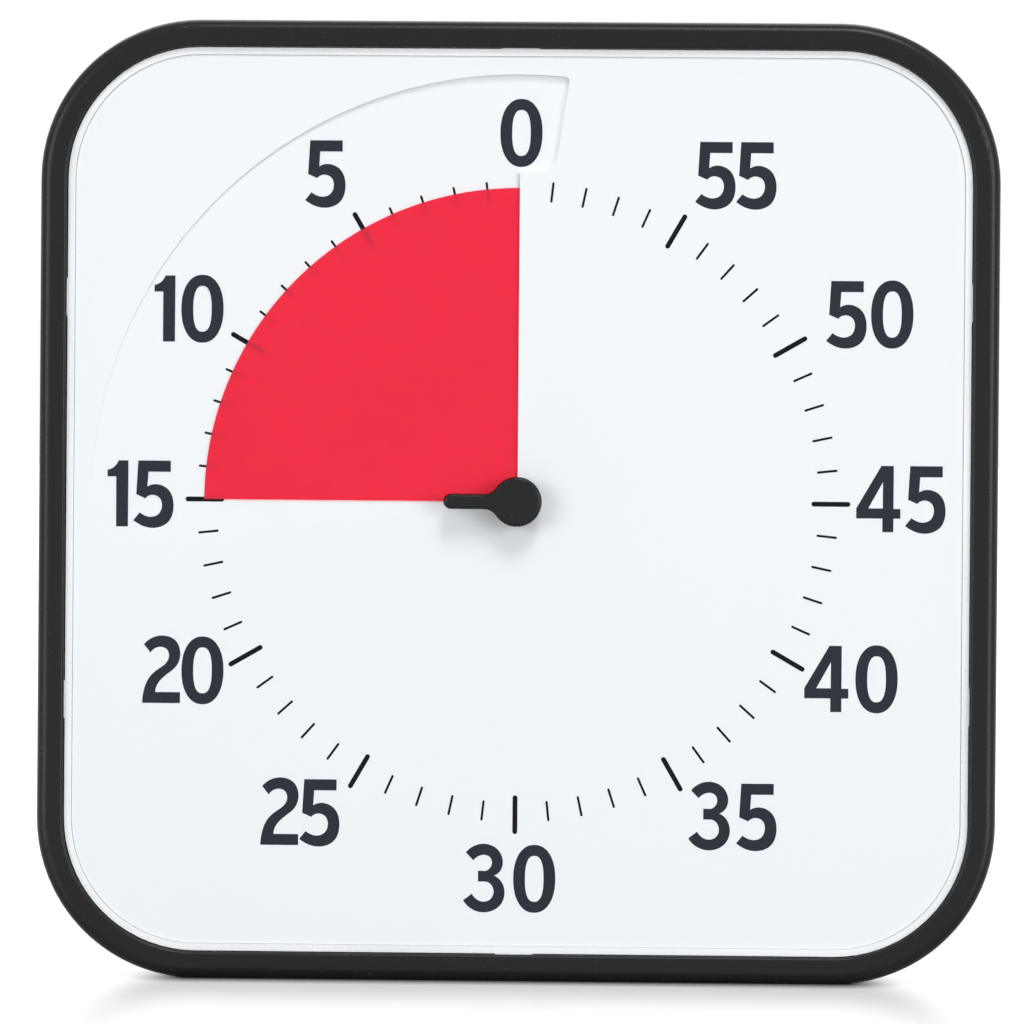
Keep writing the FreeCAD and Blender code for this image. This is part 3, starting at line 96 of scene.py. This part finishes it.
class Finish:
    """Material with a principled shader and small helpers for its nodes."""

    def __init__(self, name):
        self.material = bpy.data.materials.new(name)
        self.material.use_nodes = True
        self.tree = self.material.node_tree
        self.shader = self.tree.nodes["Principled BSDF"]
        self.place = self.add("ShaderNodeTexCoord").outputs["Object"]

    def add(self, kind, **settings):
        node = self.tree.nodes.new(kind)
        for key, value in settings.items():
            setattr(node, key, value)
        return node

    def link(self, output, target):
        self.tree.links.new(output, target)
        return self

    def set(self, **sockets):
        for name, value in sockets.items():
            self.shader.inputs[name.replace("_", " ")].default_value = value
        return self

    def noise(self, size_mm, detail=2.0, roughness=0.5):
        """Noise whose lumps are about the given size on the object."""
        node = self.add("ShaderNodeTexNoise")
        node.inputs["Scale"].default_value = 1.0 / (size_mm * MILLIMETRE)
        node.inputs["Detail"].default_value = detail
        node.inputs["Roughness"].default_value = roughness
        self.link(self.place, node.inputs["Vector"])
        return node.outputs["Fac"]

    def ramp(self, factor, low, high, low_value, high_value):
        """Value that goes from the low to the high value while the factor goes from low to high."""
        node = self.add("ShaderNodeMapRange")
        node.inputs["From Min"].default_value = low
        node.inputs["From Max"].default_value = high
        node.inputs["To Min"].default_value = low_value
        node.inputs["To Max"].default_value = high_value
        self.link(factor, node.inputs["Value"])
        return node.outputs["Result"]

    def mix(self, factor, first, second):
        """Colour between two colours or outputs."""
        node = self.add("ShaderNodeMix", data_type="RGBA")
        self.link(factor, node.inputs["Factor"])
        for socket, value in ((node.inputs[6], first), (node.inputs[7], second)):
            if isinstance(value, tuple):
                socket.default_value = value
            else:
                self.link(value, socket)
        return node.outputs[2]

    def bump(self, height, depth_mm, strength=1.0):
        node = self.add("ShaderNodeBump")
        node.inputs["Distance"].default_value = depth_mm * MILLIMETRE
        node.inputs["Strength"].default_value = strength
        self.link(height, node.inputs["Height"])
        self.link(node.outputs["Normal"], self.shader.inputs["Normal"])
        return self

    def colour(self, output):
        return self.link(output, self.shader.inputs["Base Color"])

    def roughness(self, output):
        return self.link(output, self.shader.inputs["Roughness"])


DUST_COLOUR = (0.30, 0.30, 0.29, 1.0)


def shade(colour, factor):
    return tuple(channel * factor for channel in colour[:3]) + (1.0,)


def moulded_plastic(name, colour, rough, grain_mm, grain_depth_mm, shine=0.5, dust=0.0):
    """Satin moulded plastic: fine mould grain, slight colour drift and, if asked, a few dust specks."""
    finish = Finish(name)
    drift = finish.ramp(finish.noise(60.0), 0.3, 0.7, 0.0, 1.0)
    base = finish.mix(drift, shade(colour, 0.94), shade(colour, 1.06))
    grain = finish.noise(grain_mm, detail=3.0, roughness=0.6)
    base = finish.mix(finish.ramp(grain, 0.35, 0.65, 0.0, 0.5), base, shade(colour, 1.12))
    if dust:
        specks = finish.ramp(finish.noise(0.7, detail=0.0), 0.83, 0.86, 0.0, dust)
        base = finish.mix(specks, base, DUST_COLOUR)
    finish.colour(base)
    finish.roughness(finish.ramp(grain, 0.3, 0.7, rough - 0.05, rough + 0.07))
    finish.bump(grain, grain_depth_mm)
    finish.set(Specular_IOR_Level=shine)
    return finish.material


def printed_card(name, colour):
    """Smooth coated card with a barely visible tooth."""
    finish = Finish(name)
    drift = finish.ramp(finish.noise(120.0), 0.3, 0.7, 0.0, 1.0)
    finish.colour(finish.mix(drift, shade(colour, 0.992), shade(colour, 1.005)))
    tooth = finish.noise(0.5, detail=2.0)
    finish.roughness(finish.ramp(tooth, 0.3, 0.7, 0.50, 0.58))
    finish.bump(tooth, 0.004)
    finish.set(Specular_IOR_Level=0.3)
    return finish.material


def print_ink(name, colour, shine=0.25):
    finish = Finish(name)
    mottle = finish.noise(0.8, detail=3.0, roughness=0.6)
    density = finish.ramp(mottle, 0.3, 0.7, 0.0, 1.0)
    finish.colour(finish.mix(density, shade(colour, 0.88), shade(colour, 1.14)))
    finish.roughness(finish.ramp(mottle, 0.3, 0.7, 0.50, 0.60))
    finish.bump(mottle, 0.004)
    finish.set(Specular_IOR_Level=shine)
    return finish.material


SHEET_TINT = (0.97, 0.20, 0.25, 1.0)


def red_sheet(name, colour, see_through):
    """Thin satin sheet: what lies behind it shows faintly through its colour, and light passes to it."""
    finish = Finish(name)
    drift = finish.ramp(finish.noise(70.0), 0.3, 0.7, 0.0, 1.0)
    finish.colour(finish.mix(drift, shade(colour, 0.97), shade(colour, 1.02)))
    fibre = finish.noise(0.7, detail=2.0)
    finish.roughness(finish.ramp(fibre, 0.3, 0.7, 0.36, 0.44))
    finish.bump(fibre, 0.003)
    finish.set(Specular_IOR_Level=0.35)
    clear = finish.add("ShaderNodeBsdfTransparent")
    clear.inputs["Color"].default_value = SHEET_TINT
    rays = finish.add("ShaderNodeLightPath")
    share = finish.add("ShaderNodeMapRange")
    share.inputs["To Min"].default_value = see_through
    share.inputs["To Max"].default_value = 1.0
    finish.link(rays.outputs["Is Shadow Ray"], share.inputs["Value"])
    both = finish.add("ShaderNodeMixShader")
    finish.link(share.outputs["Result"], both.inputs[0])
    finish.link(finish.shader.outputs[0], both.inputs[1])
    finish.link(clear.outputs[0], both.inputs[2])
    finish.link(both.outputs[0], finish.tree.nodes["Material Output"].inputs["Surface"])
    return finish.material


def turned_metal(name, colour, rough):
    """Metal with fine turning or drawing marks."""
    finish = Finish(name)
    marks = finish.noise(0.35, detail=3.0)
    finish.set(Metallic=1.0)
    finish.colour(finish.mix(marks, shade(colour, 0.85), shade(colour, 1.05)))
    finish.roughness(finish.ramp(marks, 0.3, 0.7, rough, rough + 0.12))
    finish.bump(marks, 0.006)
    return finish.material


def magnet_ceramic(name, colour):
    finish = Finish(name)
    grain = finish.noise(0.4, detail=4.0, roughness=0.7)
    finish.colour(finish.mix(grain, shade(colour, 0.8), shade(colour, 1.3)))
    finish.roughness(finish.ramp(grain, 0.3, 0.7, 0.55, 0.75))
    finish.bump(grain, 0.03)
    return finish.material


def board_laminate(name, colour):
    """Circuit board: lacquer over a woven laminate."""
    finish = Finish(name)
    weave = finish.add("ShaderNodeTexWave", bands_direction="DIAGONAL")
    weave.inputs["Scale"].default_value = 900.0
    finish.link(finish.place, weave.inputs["Vector"])
    finish.colour(finish.mix(weave.outputs["Fac"], shade(colour, 0.85), shade(colour, 1.15)))
    finish.roughness(finish.ramp(finish.noise(2.0), 0.3, 0.7, 0.3, 0.4))
    finish.bump(weave.outputs["Fac"], 0.01)
    return finish.material


def wound_copper(name, colour):
    """Fine enamelled wire laid side by side along the coil."""
    finish = Finish(name)
    turns = finish.add("ShaderNodeTexWave", bands_direction="Z")
    turns.inputs["Scale"].default_value = 1500.0
    finish.link(finish.place, turns.inputs["Vector"])
    finish.set(Metallic=0.8)
    finish.colour(finish.mix(turns.outputs["Fac"], shade(colour, 0.6), shade(colour, 1.1)))
    finish.roughness(finish.ramp(turns.outputs["Fac"], 0.0, 1.0, 0.45, 0.3))
    finish.bump(turns.outputs["Fac"], 0.05)
    return finish.material


SATIN_BLACK = (0.005, 0.005, 0.006)

FINISHES = {
    "case_black": moulded_plastic("case_black", SATIN_BLACK, 0.30, 0.5, 0.005, shine=0.24, dust=0.25),
    "knob_black": moulded_plastic("knob_black", SATIN_BLACK, 0.26, 0.45, 0.004, shine=0.24, dust=0.25),
    "move_plastic": moulded_plastic("move_plastic", (0.045, 0.045, 0.05), 0.5, 0.6, 0.015),
    "tray_white": moulded_plastic("tray_white", (0.89, 0.915, 0.935), 0.40, 0.6, 0.001, shine=0.3),
    "gear_white": moulded_plastic("gear_white", (0.82, 0.81, 0.75), 0.4, 0.5, 0.01),
    "card_white": printed_card("card_white", (0.880, 0.915, 0.942)),
    "ink": print_ink("ink", (0.010, 0.014, 0.024)),
    "tick_ink": print_ink("tick_ink", (0.002, 0.003, 0.005), shine=0.12),
    "leaf_red": red_sheet("leaf_red", (0.85, 0.042, 0.102), 0.50),
    "steel": turned_metal("steel", (0.62, 0.62, 0.64), 0.28),
    "brass": turned_metal("brass", (0.80, 0.62, 0.30), 0.25),
    "copper": wound_copper("copper", (0.72, 0.33, 0.16)),
    "board_green": board_laminate("board_green", (0.03, 0.20, 0.08)),
    "magnet_grey": magnet_ceramic("magnet_grey", (0.11, 0.11, 0.12)),
    "cell_wrap": moulded_plastic("cell_wrap", (0.10, 0.16, 0.30), 0.3, 1.5, 0.005),
    "lead_red": moulded_plastic("lead_red", (0.45, 0.03, 0.03), 0.4, 0.8, 0.01),
}


# Nodes whose finish differs a little from the rest of their material slot: the ticks are a denser black
OWN_FINISHES = {"dial_ticks": "tick_ink"}


def dress_nodes():
    for part in frame["record"]["subparts"]:
        materials = nodes[part["node"]].data.materials
        finish = OWN_FINISHES.get(part["node"], part["material_slot"])
        for index in range(len(materials)):
            materials[index] = FINISHES[finish]


# Red leaf: a sheet wound as one turn of a screw, as the node that it stands for, with smooth faces
LEAF_TURN = 364.0
LEAF_SPIN_STEPS = 364
LEAF_RISE_PER_TURN = 0.0038
LEAF_INNER_RADIUS = 0.0042
LEAF_THICKNESS = 0.00025


def add_leaf():
    """Spin the sheet's radial section about the dial's axis, rising towards the viewer."""
    low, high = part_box("time_leaf")
    radius = 0.5 * (high[0] - low[0])
    centre = Vector((0.5 * (low[0] + high[0]), 0.0, 0.5 * (low[2] + high[2])))
    front = low[1]
    mesh = bmesh.new()
    section = []
    for reach, back in ((LEAF_INNER_RADIUS, 0.0), (radius, 0.0), (radius, LEAF_THICKNESS),
                        (LEAF_INNER_RADIUS, LEAF_THICKNESS)):
        section.append(mesh.verts.new((centre.x - reach, front + back, centre.z)))
    first = mesh.faces.new(section)
    bmesh.ops.spin(
        mesh,
        geom=[first],
        cent=centre,
        axis=(0.0, 1.0, 0.0),
        dvec=(0.0, LEAF_RISE_PER_TURN * LEAF_TURN / 360.0 / LEAF_SPIN_STEPS, 0.0),
        angle=math.radians(LEAF_TURN),
        steps=LEAF_SPIN_STEPS,
        use_merge=False,
        use_duplicate=False,
    )
    bmesh.ops.recalc_face_normals(mesh, faces=mesh.faces)
    data = bpy.data.meshes.new("red_leaf")
    mesh.to_mesh(data)
    mesh.free()
    leaf = bpy.data.objects.new("red_leaf", data)
    bpy.context.collection.objects.link(leaf)
    data.materials.append(FINISHES["leaf_red"])
    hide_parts("time_leaf")
    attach(leaf, "leaf")


def seen_rays(tree):
    """1 for rays that show the backdrop to the camera, in gloss or through clear things, else 0."""
    rays = tree.nodes.new("ShaderNodeLightPath")
    seen = rays.outputs["Is Camera Ray"]
    for name in ("Is Glossy Ray", "Is Transmission Ray"):
        either = tree.nodes.new("ShaderNodeMath")
        either.operation = "MAXIMUM"
        tree.links.new(seen, either.inputs[0])
        tree.links.new(rays.outputs[name], either.inputs[1])
        seen = either.outputs[0]
    return seen


def add_floor():
    """Floor that keeps the object's real soft shadow, adds a painted contact shadow near the footprint where
    its glow fades out, and turns pure white away from it.
    """
    bpy.ops.mesh.primitive_plane_add(size=FLOOR_SIZE, location=(0.0, 0.0, 0.0))
    floor = bpy.context.object
    floor.name = "floor"
    finish = Finish("floor_white_painted_shadow")
    finish.colour(finish.mix(finish.noise(FLOOR_DRIFT_MM), FLOOR_COLOUR, shade(FLOOR_COLOUR, FLOOR_DRIFT)))
    finish.set(Roughness=0.2, Specular_IOR_Level=0.5)
    half_width = 0.5 * (cad_box[1][0] - cad_box[0][0]) - CORNER
    squeeze = finish.add("ShaderNodeVectorMath", operation="ABSOLUTE")
    finish.link(finish.place, squeeze.inputs[0])
    aside = finish.add("ShaderNodeVectorMath", operation="SUBTRACT")
    aside.inputs[1].default_value = (half_width, CONTACT_HALF_DEPTH, 0.0)
    finish.link(squeeze.outputs[0], aside.inputs[0])
    outside = finish.add("ShaderNodeVectorMath", operation="MAXIMUM")
    finish.link(aside.outputs[0], outside.inputs[0])
    distance = finish.add("ShaderNodeVectorMath", operation="LENGTH")
    finish.link(outside.outputs[0], distance.inputs[0])
    # Painted shadow: the glow fades to nothing near the footprint, so the floor is painted darker around the
    # object
    level = finish.add("ShaderNodeMath", operation="ADD")
    for socket, (start, end, added) in zip(level.inputs, FLOOR_GLOW_AND_PAINTED_SHADOW):
        finish.link(finish.ramp(distance.outputs["Value"], start, end, 0.0, added), socket)
    strength = finish.add("ShaderNodeMath", operation="MULTIPLY")
    finish.link(level.outputs[0], strength.inputs[0])
    finish.link(seen_rays(finish.tree), strength.inputs[1])
    glow = finish.add("ShaderNodeEmission")
    finish.link(strength.outputs[0], glow.inputs["Strength"])
    both = finish.add("ShaderNodeAddShader")
    finish.link(finish.shader.outputs[0], both.inputs[0])
    finish.link(glow.outputs[0], both.inputs[1])
    finish.link(both.outputs[0], finish.tree.nodes["Material Output"].inputs["Surface"])
    floor.data.materials.append(finish.material)


def add_sky():
    """Even grey light from all round, which the camera, gloss and clear things see as white."""
    world = bpy.data.worlds.new("studio")
    bpy.context.scene.world = world
    world.use_nodes = True
    tree = world.node_tree
    background = tree.nodes["Background"]
    level = tree.nodes.new("ShaderNodeMapRange")
    level.inputs["To Min"].default_value = SKY_LEVEL
    level.inputs["To Max"].default_value = 1.0
    tree.links.new(seen_rays(tree), level.inputs["Value"])
    tree.links.new(level.outputs["Result"], background.inputs["Strength"])
    background.inputs["Color"].default_value = (1.0, 1.0, 1.0, 1.0)


def add_lamp(name, bearing, rise, distance, size, power):
    """Square soft lamp that faces the middle of the object."""
    bearing, rise = math.radians(bearing), math.radians(rise)
    level = distance * math.cos(rise)
    middle = 0.5 * (Vector(cad_box[0]) + Vector(cad_box[1]))
    away = Vector((level * math.sin(bearing), -level * math.cos(bearing), distance * math.sin(rise)))
    lamp = bpy.data.lights.new(name, "AREA")
    lamp.shape = "SQUARE"
    lamp.size = size
    lamp.energy = power
    holder = bpy.data.objects.new(name, lamp)
    holder.location = middle + away
    holder.rotation_euler = (-away).to_track_quat("-Z", "Y").to_euler()
    holder.visible_camera = False
    bpy.context.collection.objects.link(holder)


def add_camera():
    camera = bpy.data.cameras.new("camera")
    camera.lens = CAMERA_LENS
    camera.sensor_width = SENSOR
    camera.clip_end = CAMERA_REACH
    holder = bpy.data.objects.new("camera", camera)
    facing = (CAMERA_AIM - CAMERA_PLACE).to_track_quat("-Z", "Y").to_matrix()
    roll = Matrix.Rotation(math.radians(CAMERA_ROLL), 3, "Z")
    holder.matrix_world = Matrix.Translation(CAMERA_PLACE) @ (facing @ roll).to_4x4()
    bpy.context.collection.objects.link(holder)
    bpy.context.scene.camera = holder


dress_nodes()
add_leaf()
add_floor()
add_sky()
add_lamp("key_lamp", *KEY_LAMP)
add_lamp("right_lamp", *RIGHT_LAMP)
add_lamp("left_lamp", *LEFT_LAMP)
add_lamp("back_lamp", *BACK_LAMP)
add_camera()
bpy.context.scene.view_settings.view_transform = "Standard"
